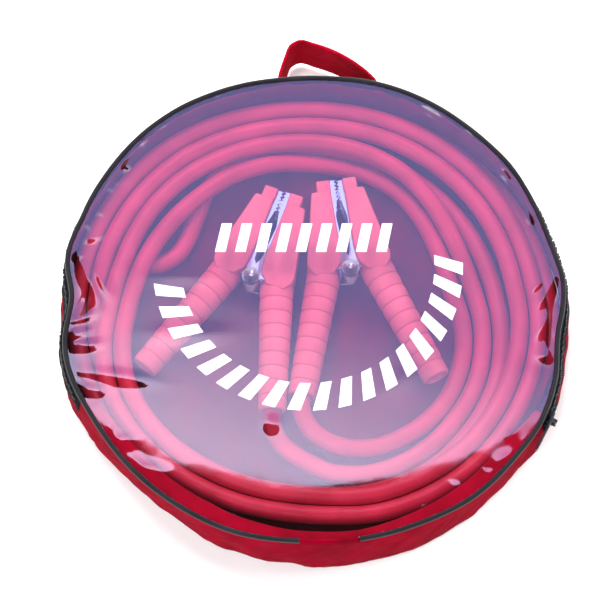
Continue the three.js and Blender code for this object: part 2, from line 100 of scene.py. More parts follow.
# Piping, the red join over its ends, and the tape under it as (outside the rim, height)
PIPING_Z = 46.6
PIPING_RADIUS = 1.8
PIPING_WAVE = 0.35
JOIN_FROM = 267.0
JOIN_TO = 280.0
JOIN_LAP = 0.3
JOIN_END = 0.4
JOIN_EXTRA = 0.15
FLANGE = [(0.7, 44.4), (0.6, 46.0)]
FLANGE_THICK = 0.8

# Hem of the wall, folded in under the window along the hinge side: its width by azimuth
HEM = [
    (205, 5), (211, 10), (222, 12), (245, 12), (256, 10), (265, 7), (280, 6), (292, 8), (305, 11), (322, 12),
    (332, 6),
]
HEM_ROWS = 7
HEM_INSET = 1.2
HEM_TOP = 44.6
HEM_DROP = 1.6
HEM_RUCK = 0.5
HEM_THICK = 0.9

# Window, its rings from the middle out, and how it sags, settles on its rim and ripples
WINDOW_Z = 46.3
WINDOW_THICK = 0.45
WINDOW_INSET = 0.9
WINDOW_RINGS = (0.012, 0.86, 56)
WINDOW_RIM_RINGS = (0.875, 1.0, 22)
WINDOW_SAG = 0.5
WINDOW_SETTLE = 0.03
WINDOW_RIPPLE = 0.03
RIDGE_REACH = 0.38
MIDDLE_HOLE = 10

# White bars on the window: a straight row, and an arc about a centre
PRINT_LIFT = 0.08
ROW_BARS = 9
ROW_LEFT = -70
ROW_PITCH = 14.2
ROW_BAR = 7.5
ROW_SLANT = 4.5
ROW_LOW = 36
ROW_HIGH = 58
ARC_CENTRE = (-4.4, 27)
ARC_BARS = 19
ARC_FROM = 188
ARC_PITCH = 9.3
ARC_BAR = 4.9
ARC_SLANT = 4.0
ARC_OUTER = 109
ARC_INNER = 89

# Back panel
PANEL_THICK = 1.4
PANEL_STEP = 2.0
PANEL_INSET = 1.8
PANEL_RINGS = 36
PANEL_TOP = 1.45
PANEL_WAVE = 0.12
PANEL_WAVE_LENGTH = 30

# Lead: azimuth counted on through the turns, radius, and layer, 0 on the panel and 1 on the strands beneath
CABLE_RADIUS = 6.5
FLOOR_LAYER = 8.4
LAYER_PITCH = 13.2
COIL_STEP = 12
CLAMP_MIDDLE = 14.6
FOLD_AZIMUTH = 150
FOLD_OUTER = 166
FOLD_INNER = 110
FOLD_STEPS = 8
INNER_LANE = [
    (300, 107, 0), (320, 111, 0), (336, 110.5, 0), (355, 107, 0), (370, 101.5, 0), (385, 102.5, 0),
    (400, 108.2, 0), (420, 118, 0), (437, 121, 0), (450, 122, 0.1), (465, 122, 0.7), (480, 122.5, 1),
    (495, 123, 1), (510, 125.5, 1), (528, 129, 1), (543, 133.6, 0.95), (553, 138.9, 0.95), (562, 141.2, 1),
    (578, 140.9, 1), (600, 137, 1), (628, 134.5, 1), (645, 139.5, 1), (664, 143, 1), (685, 145.5, 1),
    (714, 146, 1), (730, 144, 1), (750, 145, 1), (780, 146.5, 1), (816, 148, 1), (846, 154, 1),
    (858, 155.3, 1), (880, 155.8, 0.96), (888, 156, 0.75), (897, 156, 0.33), (905, 155.5, 0.06),
    (913, 153.8, 0), (925, 149.5, 0), (940, 142, 0), (960, 133.5, 0), (988, 131, 0), (1005, 134.3, 0),
    (1024, 138, 0), (1041, 138, 0), (1060, 137.3, 0), (1075, 134.3, 0), (1093, 131, 0), (1110, 131, 0),
    (1140, 132.5, 0), (1170, 135.5, 0), (1190, 136, 0), (1203, 132.5, 0), (1215, 119.5, 0),
    (1223, 111.8, 0), (1230, FOLD_INNER, 0),
]
OUTER_LANE = [
    (276, 115.5, 0), (285, 120.3, 0), (300, 124, 0), (309, 124.8, 0), (324, 124.6, 0), (338, 124, 0),
    (355, 120.6, 0), (375, 116, 0), (390, 117.2, 0.28), (402, 120, 0.8), (420, 127.5, 1), (435, 131.5, 1),
    (456, 134.8, 1), (486, 140.5, 1), (498, 142, 1), (528, 142.6, 1), (543, 147.1, 0.95),
    (553, 152.4, 0.95), (562, 154.6, 1), (578, 154.3, 1), (600, 150.5, 1), (628, 148, 1), (645, 153, 1),
    (664, 156.5, 1), (685, 159, 1), (714, 159.5, 1), (730, 157.5, 1), (750, 158.5, 1), (780, 160, 1),
    (816, 161.5, 1), (846, 167.3, 1), (858, 168.8, 1), (880, 169.2, 0.96), (888, 169.3, 0.75),
    (897, 169.3, 0.33), (905, 168.9, 0.06), (913, 167.3, 0), (925, 163, 0), (940, 155.5, 0),
    (960, 147, 0), (988, 144.5, 0), (1005, 147.8, 0), (1024, 151.5, 0), (1041, 156, 0), (1058, 164, 0),
    (1075, 168.8, 0), (1090, 168.8, 0), (1110, 168.5, 0), (1138, 167.5, 0), (1170, 166.2, 0),
    (1200, FOLD_OUTER, 0), (1230, FOLD_OUTER, 0),
]
LEFT_EXIT = [
    (-29.56, -72.3, 14.6), (-29.6, -77, 14.5), (-27.9, -86.2, 13.9), (-23.1, -94.6, 12.7),
    (-16.2, -100.7, 11.4), (-7.4, -106.2, 10.0), (2.2, -110.9, 8.8),
]
RIGHT_EXIT = [
    (-8.9, -62, 14.6), (-9.1, -67, 14.6), (-7.9, -74.3, 14.2), (-4.5, -81.5, 13.5), (0.9, -87.4, 12.4),
    (8, -91.8, 11.0), (17.2, -95.3, 9.5), (28, -97, 8.4), (40, -96.6, 8.4),
]
LEAD_STEP = 5.0

# Slider and pull tab, with x out of the bag; the joint's axis lies 3.3 inside the bar as drawn
SLIDER_FROM_END = 2
SLIDER_Z = 37.45
SLIDER_GAP = 0.3
SLIDER_THICK = 1.8
SLIDER_BEVEL = 0.7
POST_BEVEL = 0.3
BAR_OUT = 4.5
BAR_RADIUS = 0.8
BAR_LOW = 33.0
BAR_HIGH = 41.9
PULL_AXIS = 184.05
PULL_LOW = 34.6
PULL_HIGH = 40.4
PULL_BEVEL = 0.45

# Clamps: pivot, turn in degrees, and the side that the moving arm is on
CLAMPS = {
    "left_clamp": ((-45, 27), -19.8, -1),
    "right_clamp": ((26, 33), 8.4, 1),
}
CLAMP_HALF = 12.7
COVER_BEVEL = 1.3
CAP_HALF = 12.0
CAP_BEVEL = 0.8
POCKET_PLAY = 0.3
PLATE_TOPS = {"fixed": 10.3, "moving": 8.5}
PIVOT_HOLE = 7.3
PIVOT_HALF = 10.6

# One arm's cover in plan, from the pivot: the body, the cap at its tip, and the room for the jaw
COVER_BODY = [
    (5.0, 61.5), (18.6, 61.5), (19.4, 60.2), (30.2, 8.0), (29.6, 3.0), (27.5, 0.0), (25.5, -3.0),
    (12.5, -3.0), (9.6, 0.8), (7.0, 3.0), (6.1, 5.6), (5.6, 10.0), (4.9, 17.0), (4.9, 41.0),
]
COVER_CAP = [(4.7, 60.5), (14.8, 60.5), (14.6, 70.0), (4.6, 70.0)]
COVER_POCKET = [
    (-6.0, 72.0), (4.3, 72.0), (4.3, 68.4), (12.5, 68.4), (12.5, 58.3), (16.2, 58.3), (27.7, 5.5),
    (24.7, -0.4), (-6.0, -0.4),
]

# Grip: where its axis starts, the slope of that axis, its length, and its radius at either end
GRIP_AT = (19, 1)
GRIP_SLOPE = (29.0, 88.7)
GRIP_LENGTH = 93.3
GRIP_RIBS = 9
GRIP_TOP = 12.0
GRIP_END = 9.6

# Rivet as (radius, height), and the spring round it
RIVET = [
    (0, 12.3), (3.2, 12.3), (3.8, 11.9), (5.2, 11.8), (6.2, 11.2), (6.2, 10.7), (3.0, 10.7), (3.0, -10.7),
    (6.2, -10.7), (6.2, -11.2), (5.2, -11.8), (0, -12.1),
]
WIRE_RADIUS = 0.85
COIL_RADIUS = 5.5
COIL_TURNS = 6.4
COIL_HALF = 5.8
COIL_SIDES = 22
LEG_ANGLE = -100
LEG_LENGTH = 6.5

# Meshes: the steps of a rounded edge, and the angle in degrees over which an edge is sharp
BEVEL_STEPS = 3
SHARP_ANGLE = 35

# Materials: fineness of the drift of shade in cloth and in plastic
CLOTH_DRIFT = 60.0
PLASTIC_DRIFT = 40.0

# Lamps, all aimed at the origin: place, width, and power in watts
LAMPS = {
    "key": ((-0.5, 1.3, 2.1), 1.4, 80),
    "side": ((1.5, 0.5, 1.7), 1.4, 36),
    "front": ((-0.7, -1.1, 2.1), 1.8, 52),
}

# Floor, and the sky's shades by height
FLOOR_HALF = 6
SKY_TONES = [(0.60, (0.62, 0.62, 0.66)), (0.82, (0.03, 0.03, 0.03))]

# Softbox: place, aim, radius and sides, and the shades across it, which run askew by its slant
SOFTBOX_AT = Vector((0.012, 0.894, 1.421))
SOFTBOX_AIM = Vector((-0.017, 0.165, 0.0465))
SOFTBOX_RADIUS = 0.59
SOFTBOX_SIDES = 96
SOFTBOX_SPREAD = 0.6
SOFTBOX_SLANT = 0.22
SOFTBOX_GLOW = 4.2
SOFTBOX_TONES = [
    (0.20, (0.85, 0.82, 0.95)), (0.28, (0.21, 0.21, 0.48)),
    (0.78, (0.21, 0.21, 0.48)), (0.97, (0.78, 0.68, 0.96)),
]

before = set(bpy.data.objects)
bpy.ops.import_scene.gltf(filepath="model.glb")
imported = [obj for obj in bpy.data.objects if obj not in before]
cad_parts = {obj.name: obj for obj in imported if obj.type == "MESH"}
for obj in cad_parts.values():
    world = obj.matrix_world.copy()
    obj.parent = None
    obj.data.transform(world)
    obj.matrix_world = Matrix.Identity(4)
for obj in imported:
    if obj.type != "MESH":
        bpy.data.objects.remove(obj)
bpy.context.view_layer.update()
scene = bpy.context.scene


# Materials


def nodes_of(name, color, roughness, **sockets):
    """A new material, its node tree and its main shader."""
    made = bpy.data.materials.new(name)
    made.use_nodes = True
    tree = made.node_tree
    shader = tree.nodes["Principled BSDF"]
    shader.inputs["Base Color"].default_value = (*color, 1)
    shader.inputs["Roughness"].default_value = roughness
    for socket, value in sockets.items():
        shader.inputs[socket.replace("_", " ")].default_value = value
    return made, tree, shader


def node(tree, kind, **values):
    """A new node, its values set on its inputs or else on itself."""
    made = tree.nodes.new(kind)
    for key, value in values.items():
        if key in made.inputs:
            made.inputs[key].default_value = value
        else:
            setattr(made, key, value)
    return made


def tones(tree, stops):
    """A ramp through stops, each a position and a colour."""
    ramp = node(tree, "ShaderNodeValToRGB")
    elements = ramp.color_ramp.elements
    for element, (position, color) in zip((elements[0], elements[1]), (stops[0], stops[-1])):
        element.position = position
        element.color = (*color, 1)
    for position, color in stops[1:-1]:
        elements.new(position).color = (*color, 1)
    return ramp


def mottle(tree, shader, dark, light, scale, coords):
    """Colour that drifts between two shades."""
    cloud = node(tree, "ShaderNodeTexNoise", Scale=scale, Detail=4.0)
    ramp = tones(tree, [(0.3, dark), (0.7, light)])
    tree.links.new(coords, cloud.inputs["Vector"])
    tree.links.new(cloud.outputs["Fac"], ramp.inputs["Fac"])
    tree.links.new(ramp.outputs["Color"], shader.inputs["Base Color"])


def sine(tree, source, pitch):
    """A wave of that pitch, in metres, along one coordinate."""
    scaled = node(tree, "ShaderNodeMath", operation="MULTIPLY")
    scaled.inputs[1].default_value = 2 * math.pi / pitch
    wave = node(tree, "ShaderNodeMath", operation="SINE")
    tree.links.new(source, scaled.inputs[0])
    tree.links.new(scaled.outputs[0], wave.inputs[0])
    return wave.outputs[0]


def product(tree, a, b):
    made = node(tree, "ShaderNodeMath", operation="MULTIPLY")
    tree.links.new(a, made.inputs[0])
    tree.links.new(b, made.inputs[1])
    return made.outputs[0]


def relief(tree, shader, height, distance):
    bump = node(tree, "ShaderNodeBump", Strength=1.0, Distance=distance)
    tree.links.new(height, bump.inputs["Height"])
    tree.links.new(bump.outputs["Normal"], shader.inputs["Normal"])


def woven(name, dark, light, pitch, depth, roughness, sheen):
    """Cloth: warp and weft at a pitch, with a slow drift of shade."""
    made, tree, shader = nodes_of(
        name, light, roughness, Sheen_Weight=sheen, Sheen_Roughness=0.5, Specular_IOR_Level=0.03,
    )
    coords = node(tree, "ShaderNodeTexCoord")
    split = node(tree, "ShaderNodeSeparateXYZ")
    tree.links.new(coords.outputs["UV"], split.inputs[0])
    weave = product(tree, sine(tree, split.outputs[0], pitch), sine(tree, split.outputs[1], pitch))
    relief(tree, shader, weave, depth)
    mottle(tree, shader, dark, light, CLOTH_DRIFT, coords.outputs["Object"])
    return made


def moulded(name, dark, light, roughness, grain, depth, coat=0.0):
    """Plastic or rubber with a fine grain and slight changes of shade."""
    made, tree, shader = nodes_of(name, light, roughness, Coat_Weight=coat, Coat_Roughness=0.25)
    coords = node(tree, "ShaderNodeTexCoord")
    mottle(tree, shader, dark, light, PLASTIC_DRIFT, coords.outputs["Object"])
    fine = node(tree, "ShaderNodeTexNoise", Scale=grain, Detail=3.0)
    tree.links.new(coords.outputs["Object"], fine.inputs["Vector"])
    relief(tree, shader, fine.outputs["Fac"], depth)
    return made


def plated(name, color, roughness):
    """Bright sheet steel with fine drawn lines and duller patches."""
    made, tree, shader = nodes_of(name, color, roughness, Metallic=1.0)
    coords = node(tree, "ShaderNodeTexCoord")
    stretch = node(tree, "ShaderNodeMapping", Scale=(900.0, 60.0, 900.0))
    lines = node(tree, "ShaderNodeTexNoise", Scale=1.0, Detail=2.0)
    tree.links.new(coords.outputs["Object"], stretch.inputs["Vector"])
    tree.links.new(stretch.outputs["Vector"], lines.inputs["Vector"])
    relief(tree, shader, lines.outputs["Fac"], 0.00008)
    patches = node(tree, "ShaderNodeTexNoise", Scale=90.0, Detail=3.0)
    spread = node(tree, "ShaderNodeMapRange")
    spread.inputs["To Min"].default_value = roughness * 0.7
    spread.inputs["To Max"].default_value = roughness * 1.5
    tree.links.new(coords.outputs["Object"], patches.inputs["Vector"])
    tree.links.new(patches.outputs["Fac"], spread.inputs["Value"])
    tree.links.new(spread.outputs["Result"], shader.inputs["Roughness"])
    return made


def clear_sheet():
    """Stand-in for clear vinyl: a mirror that is mostly see-through, faintly rippled."""
    made, tree, shader = nodes_of("clear_vinyl", (0.95, 0.95, 1.0), 0.03, Metallic=1.0, Alpha=0.075)
    coords = node(tree, "ShaderNodeTexCoord")
    ripple = node(tree, "ShaderNodeTexNoise", Scale=28.0, Detail=2.0)
    tree.links.new(coords.outputs["Object"], ripple.inputs["Vector"])
    relief(tree, shader, ripple.outputs["Fac"], 0.00005)
    return made


LOOKS = {
    "nylon": woven("red_nylon", (0.22, 0.0, 0.010), (0.33, 0.0, 0.017), 0.0009, 0.00012, 0.8, 0.01),
    # Painted shade: the back panel is the wall's red nylon in darker colours, standing in for the shade that
    # lies on it inside the bag
    "nylon_painted_shade": woven("red_nylon_painted_shade", (0.07, 0.0, 0.006), (0.12, 0.0, 0.010), 0.0009, 0.00012, 0.8, 0.01),
    "webbing": woven("red_webbing", (0.30, 0.0, 0.008), (0.46, 0.002, 0.022), 0.0018, 0.00035, 0.8, 0.02),
    "tape": woven("black_tape", (0.008, 0.008, 0.010), (0.014, 0.013, 0.016), 0.0011, 0.0002, 0.7, 0.01),
    "piping": moulded("black_piping", (0.005, 0.005, 0.006), (0.014, 0.013, 0.015), 0.5, 900.0, 0.0001),
    "metal": moulded("black_paint", (0.010, 0.010, 0.011), (0.030, 0.030, 0.032), 0.3, 1200.0, 0.00004, 0.3),
    "cable": moulded("red_insulation", (0.30, 0.005, 0.022), (0.42, 0.012, 0.040), 0.38, 500.0, 0.00005, 0.1),
    "plastic": moulded("red_plastic", (0.44, 0.040, 0.065), (0.56, 0.075, 0.105), 0.45, 1400.0, 0.00005, 0.1),
    "steel": plated("bright_steel", (0.86, 0.86, 0.88), 0.16),
    "print": moulded("white_print", (0.60, 0.60, 0.70), (0.66, 0.66, 0.76), 0.5, 1500.0, 0.00002),
    "vinyl": clear_sheet(),
}


# Building


def finish_piece(obj, look, body):
    """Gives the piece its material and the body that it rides."""
    obj.data.materials.append(LOOKS[look])
    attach(obj, body)
    return obj


def link(name, data):
    obj = bpy.data.objects.new(name, data)
    scene.collection.objects.link(obj)
    return obj


def surface(name, rows, look, closed=False, skip=None):
    """A sheet through rows of points, in metres, with its own lengths as its weave's coordinates."""
    count = len(rows[0])
    mesh = bpy.data.meshes.new(name)
    corners = []
    faces = []
    gaps = np.linalg.norm(np.diff(np.array(rows, float), axis=1), axis=2).mean(axis=0)
    along = np.concatenate([[0], np.cumsum(gaps)])
    if closed:
        along = np.append(along, along[-1] + gaps.mean())
    rise = np.linalg.norm(np.diff(np.array(rows, float), axis=0), axis=2).mean(axis=1)
    up = np.concatenate([[0], np.cumsum(rise)])
    for i in range(len(rows) - 1):
        for j in range(count if closed else count - 1):
            if skip and skip(i, j):
                continue
            k = (j + 1) % count
            faces.append((i * count + j, i * count + k, (i + 1) * count + k, (i + 1) * count + j))
            corners += [
                (along[j], up[i]), (along[j + 1], up[i]), (along[j + 1], up[i + 1]), (along[j], up[i + 1]),
            ]
    used = sorted({v for f in faces for v in f})
    place = {v: n for n, v in enumerate(used)}
    points = [p for row in rows for p in row]
    mesh.from_pydata([tuple(points[v]) for v in used], [], [tuple(place[v] for v in f) for f in faces])
    layer = mesh.uv_layers.new(name="weave")
    layer.data.foreach_set("uv", np.array(corners, np.float32).ravel())
    mesh.polygons.foreach_set("use_smooth", [True] * len(mesh.polygons))
    return finish_piece(link(name, mesh), look, ROOT)


def thicken(obj, thickness, offset=-1.0):
    """Thickens a sheet to one side, or to both where the offset is 0."""
    shell = obj.modifiers.new("thickness", "SOLIDIFY")
    shell.thickness = thickness
    shell.offset = offset
    return obj


def strand(name, points, radius, look, roundness):
    """A round strand along points, in metres."""
    curve = bpy.data.curves.new(name, "CURVE")
    curve.dimensions = "3D"
    curve.bevel_depth = radius
    curve.bevel_resolution = roundness
    curve.use_fill_caps = True
    spline = curve.splines.new("POLY")
    spline.points.add(len(points) - 1)
    spline.points.foreach_set("co", np.array([(*p, 1) for p in points], np.float32).ravel())
    spline.use_smooth = True
    return finish_piece(link(name, curve), look, ROOT)


def fill_middle(obj):
    """Closes the small hole in the middle of a round sheet."""
    shape = bmesh.new()
    shape.from_mesh(obj.data)
    rim = [e for e in shape.edges if e.is_boundary and e.verts[0].co.xy.length < MIDDLE_HOLE * MM]
    bmesh.ops.contextual_create(shape, geom=rim)
    shape.to_mesh(obj.data)
    shape.free()


def applied(obj):
    """Turns the piece's modifiers into its mesh."""
    bpy.context.view_layer.update()
    shape = bpy.data.meshes.new_from_object(obj.evaluated_get(bpy.context.evaluated_depsgraph_get()))
    obj.modifiers.clear()
    obj.data = shape
    return obj


def block(outline, low, high, bevel):
    """A prism on a plan outline, in millimetres, with rounded edges."""
    shape = bmesh.new()
    foot = [shape.verts.new((x * MM, y * MM, low * MM)) for x, y in outline]
    top = [shape.verts.new((x * MM, y * MM, high * MM)) for x, y in outline]
    shape.faces.new(foot[::-1])
    shape.faces.new(top)
    for i in range(len(outline)):
        k = (i + 1) % len(outline)
        shape.faces.new((foot[i], foot[k], top[k], top[i]))
    bmesh.ops.recalc_face_normals(shape, faces=shape.faces)
    if bevel:
        bmesh.ops.bevel(
            shape, geom=shape.edges[:], offset=bevel * MM, segments=BEVEL_STEPS, profile=0.5, affect="EDGES"
        )
    mesh = bpy.data.meshes.new("block")
    shape.to_mesh(mesh)
    shape.free()
    return mesh


def turned(profile, sides):
    """A body of revolution about Z, from (radius, height) in millimetres."""
    shape = bmesh.new()
    rings = []
    for r, z in profile:
        if r < 1e-6:
            rings.append([shape.verts.new((0, 0, z * MM))])
            continue
        rings.append([
            shape.verts.new((r * MM * math.cos(a), r * MM * math.sin(a), z * MM))
            for a in (2 * math.pi * k / sides for k in range(sides))
        ])
    for a, b in zip(rings, rings[1:]):
        for k in range(sides):
            n = (k + 1) % sides
            corners = [a[k % len(a)], a[n % len(a)], b[n % len(b)], b[k % len(b)]]
            unique = list(dict.fromkeys(corners))
            if len(unique) > 2:
                shape.faces.new(unique)
    bmesh.ops.recalc_face_normals(shape, faces=shape.faces)
    mesh = bpy.data.meshes.new("turned")
    shape.to_mesh(mesh)
    shape.free()
    return mesh


def joined(name, meshes, look, body, place):
    """One piece from several meshes, each with a matrix of its own."""
    shape = bmesh.new()
    for mesh, matrix in meshes:
        mesh.transform(matrix)
        shape.from_mesh(mesh)
    made = bpy.data.meshes.new(name)
    shape.to_mesh(made)
    shape.free()
    obj = link(name, made)
    made.polygons.foreach_set("use_smooth", [True] * len(made.polygons))
    made.set_sharp_from_angle(angle=math.radians(SHARP_ANGLE))
    obj.matrix_world = place
    return finish_piece(obj, look, body)


# Camera in the scene

camera = bpy.data.cameras.new("camera")
camera.lens = CAMERA_LENS
camera.clip_start = CAMERA_NEAR
camera_at = link("camera", camera)
camera_at.location = CAMERA_AT
camera_at.rotation_euler = (math.radians(CAMERA_TILT), 0, 0)
scene.camera = camera_at


# Lead


def lane_at(lane, azimuth):
    """Radius and height of a strand at an azimuth, eased through its lane's waypoints."""
    i = 0
    while i < len(lane) - 2 and azimuth > lane[i + 1][0]:
        i += 1

    def slope(k, column):
        before = lane[max(0, k - 1)]
        after = lane[min(len(lane) - 1, k + 1)]
        return (after[column] - before[column]) / (after[0] - before[0])

    span = lane[i + 1][0] - lane[i][0]
    t = (azimuth - lane[i][0]) / span

    def ease(column):
        a, b = lane[i][column], lane[i + 1][column]
        start = slope(i, column) * span * (t**3 - 2 * t**2 + t)
        end = slope(i + 1, column) * span * (t**3 - t**2)
        return a + (b - a) * (3 * t**2 - 2 * t**3) + start + end

    return ease(1), FLOOR_LAYER + LAYER_PITCH * ease(2)


def coil_strand(lane):
    """Points of a strand along its lane, in millimetres."""
    first, last = lane[0][0], lane[-1][0]
    steps = round((last - first) / COIL_STEP)
    points = []
    for i in range(steps + 1):
        azimuth = first + (last - first) * i / steps
        radius, height = lane_at(lane, azimuth)
        a = math.radians(azimuth)
        points.append(Vector((radius * math.cos(a), radius * math.sin(a), height)))
    return points


def fold_points():
    """The half circle in which the lead turns back on itself."""
    half = (FOLD_OUTER - FOLD_INNER) / 2
    a = math.radians(FOLD_AZIMUTH)
    out = Vector((math.cos(a), math.sin(a), 0))
    along = Vector((-math.sin(a), math.cos(a), 0))
    centre = out * (FOLD_OUTER + FOLD_INNER) / 2 + Vector((0, 0, FLOOR_LAYER))
    turns = [math.pi * i / FOLD_STEPS for i in range(1, FOLD_STEPS)]
    return [centre + out * half * math.cos(t) + along * half * math.sin(t) for t in turns]


def through(points, step):
    """A centripetal curve through points, as points a step apart."""
    ends = [2 * points[0] - points[1], *points, 2 * points[-1] - points[-2]]
    route = []
    for p0, p1, p2, p3 in zip(ends, ends[1:], ends[2:], ends[3:]):
        knots = [0.0]
        for a, b in ((p0, p1), (p1, p2), (p2, p3)):
            knots.append(knots[-1] + math.sqrt((b - a).length))
        count = max(2, round((p2 - p1).length / step))
        for n in range(count):
            t = knots[1] + (knots[2] - knots[1]) * n / count

            def mix(a, b, start, end, t=t):
                return a * ((end - t) / (end - start)) + b * ((t - start) / (end - start))

            a1 = mix(p0, p1, knots[0], knots[1])
            a2 = mix(p1, p2, knots[1], knots[2])
            a3 = mix(p2, p3, knots[2], knots[3])
            b1 = mix(a1, a2, knots[0], knots[2])
            b2 = mix(a2, a3, knots[1], knots[3])
            route.append(mix(b1, b2, knots[1], knots[2]))
    route.append(points[-1])
    return route


def make_lead():
    outward = [Vector(p) for p in LEFT_EXIT] + coil_strand(OUTER_LANE)
    homeward = [Vector(p) for p in RIGHT_EXIT] + coil_strand(INNER_LANE)
    route = through(outward + fold_points() + homeward[::-1], LEAD_STEP)
    lead = strand("lead", [p * MM for p in route], CABLE_RADIUS * MM, "cable", 5)
    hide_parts("red_cable")


# Bag


def around(table, azimuth):
    """A smooth value by azimuth from a table that goes once round."""
    degrees = np.asarray(azimuth, float)
    keys = np.array([k for k, _ in table], float)
    values = np.array([v for _, v in table], float)
    near = [np.interp(degrees + shift, keys, values, period=360) for shift in (-3, -1.5, 0, 1.5, 3)]
    return np.average(near, axis=0, weights=(1, 2, 3, 2, 1))


def folds(azimuth, height):
    """Soft folds in the nylon wall, in millimetres outwards."""
    depth = 0.0
    for size, fineness, slant, tallness in FOLDS:
        a = math.radians(azimuth) + slant * height
        spot = Vector((fineness * math.cos(a), fineness * math.sin(a), height / tallness))
        depth += size * noise.noise(spot)
    return depth


def wall_point(azimuth, height, lift=0.0):
    """A point of the wall, in metres, or one that lies further out by the lift in millimetres."""
    t = (height - WALL_FOOT) / (WALL_TOP - WALL_FOOT)
    base = float(around(FOOT, azimuth))
    rim = float(around(RIM, azimuth)) + WALL_OUTSIDE_RIM
    radius = base + (rim - base) * t**WALL_LEAN + WALL_BULGE * 4 * t * (1 - t)
    near_top = min(1.0, FOLD_FADE_TOP * (1 - t))
    near_foot = min(1.0, FOLD_AT_FOOT + FOLD_FADE_FOOT * t)
    radius += folds(azimuth, height) * near_top * near_foot
    radius -= FOOT_CURL * max(0.0, 1 - height / FOOT_CURL_HEIGHT) ** 2
    a = math.radians(azimuth)
    return ((radius + lift) * math.cos(a) * MM, (radius + lift) * math.sin(a) * MM, height * MM)


def make_wall():
    azimuths = np.arange(0, 360, BAG_STEP)
    low = [WALL_FOOT, 1.8, 3.2, 6, 9, 12, 15, 18, 21, 24, 27, WALL_RED_TOP]
    high = [33, 36, 39, 42, WALL_TOP]
    rows = [[wall_point(a, z) for a in azimuths] for z in low + high]

    def zipped(i, j):
        middle = (azimuths[j] + BAG_STEP / 2) % 360
        return i >= len(low) - 1 and not ZIP_END < middle < ZIP_START + 360

    wall = surface("wall", rows, "nylon", closed=True, skip=zipped)
    thicken(wall, WALL_THICK * MM)
    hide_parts("side_wall")


def band(name, low, high, lift):
    """A tape of the zip, from one height of the wall to another."""
    azimuths = np.linspace(ZIP_START, ZIP_END, round((ZIP_END - ZIP_START) / BAG_STEP) + 1)
    points = [[wall_point(a, z, lift) for a in azimuths] for z in np.linspace(low, high, 4)]
    return thicken(surface(name, points, "tape"), TAPE_THICK * MM)


def make_zip():
    low = band("tape_low", ZIP_LOW[0] - TAPE_LAP, ZIP_LOW[1], TAPE_LOW_LIFT)
    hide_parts("zip_tape_lower")
    high = band("tape_high", *ZIP_HIGH, TAPE_HIGH_LIFT)
    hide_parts("zip_tape_upper")

    shape = bmesh.new()
    middle = (ZIP_LOW[1] + ZIP_HIGH[0]) / 2
    turn = math.degrees(TOOTH_PITCH / TOOTH_RING)
    count = int((ZIP_END - ZIP_START - 2 * TOOTH_MARGIN) / turn)
    size = Matrix.Diagonal((*(edge * MM for edge in TOOTH_SIZE), 1))
    for i in range(count):
        azimuth = ZIP_START + TOOTH_MARGIN + i * turn
        side = TOOTH_STAGGER if i % 2 else -TOOTH_STAGGER
        centre = Vector(wall_point(azimuth, middle + side, TOOTH_LIFT))
        facing = Matrix.Rotation(math.radians(azimuth), 4, "Z")
        bmesh.ops.create_cube(shape, size=1.0, matrix=Matrix.Translation(centre) @ facing @ size)
    bmesh.ops.bevel(shape, geom=shape.edges[:], offset=TOOTH_BEVEL * MM, segments=1, affect="EDGES")
    mesh = bpy.data.meshes.new("zip_teeth")
    shape.to_mesh(mesh)
    shape.free()
    finish_piece(link("zip_teeth", mesh), "metal", ROOT)


def rim_point(azimuth, radius_offset=0.0, height=PIPING_Z):
    """A point of the piping's centre line, in metres, or one at an offset or height in millimetres."""
    a = math.radians(azimuth)
    r = float(around(RIM, azimuth)) + radius_offset
    z = height + PIPING_WAVE * noise.noise(Vector((4 * math.cos(a), 4 * math.sin(a), 0)))
    return Vector((r * math.cos(a), r * math.sin(a), z)) * MM


def make_piping():
    black = [rim_point(a) for a in np.arange(JOIN_TO, JOIN_FROM + 360 + BAG_STEP / 2, BAG_STEP)]
    bead = strand("rim_piping", black, PIPING_RADIUS * MM, "piping", 4)
    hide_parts("piping")
    join = [rim_point(a) for a in np.arange(JOIN_FROM - JOIN_LAP, JOIN_TO + JOIN_END, BAG_STEP)]
    patch = strand("rim_join", join, (PIPING_RADIUS + JOIN_EXTRA) * MM, "nylon", 4)
    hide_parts("piping_join")
    lip = [[rim_point(a, d, z) for a in np.arange(0, 360, BAG_STEP)] for d, z in FLANGE]
    thicken(surface("rim_flange", lip, "tape", closed=True), FLANGE_THICK * MM)
    thicken(surface("wall_hem", hem_rows(), "nylon"), HEM_THICK * MM)


def hem_rows():
    azimuths = np.arange(HEM[0][0], HEM[-1][0] + BAG_STEP / 2, BAG_STEP)
    widths = np.interp(azimuths, [k for k, _ in HEM], [w for _, w in HEM])
    rows = []
    for share in np.linspace(0, 1, HEM_ROWS):
        row = []
        for azimuth, width in zip(azimuths, widths):
            a = math.radians(azimuth)
            ruck = HEM_RUCK * share * noise.noise(Vector((22 * math.cos(a), 22 * math.sin(a), share)))
            row.append(rim_point(azimuth, -HEM_INSET - width * share, HEM_TOP - HEM_DROP * share + ruck))
        rows.append(row)
    return rows


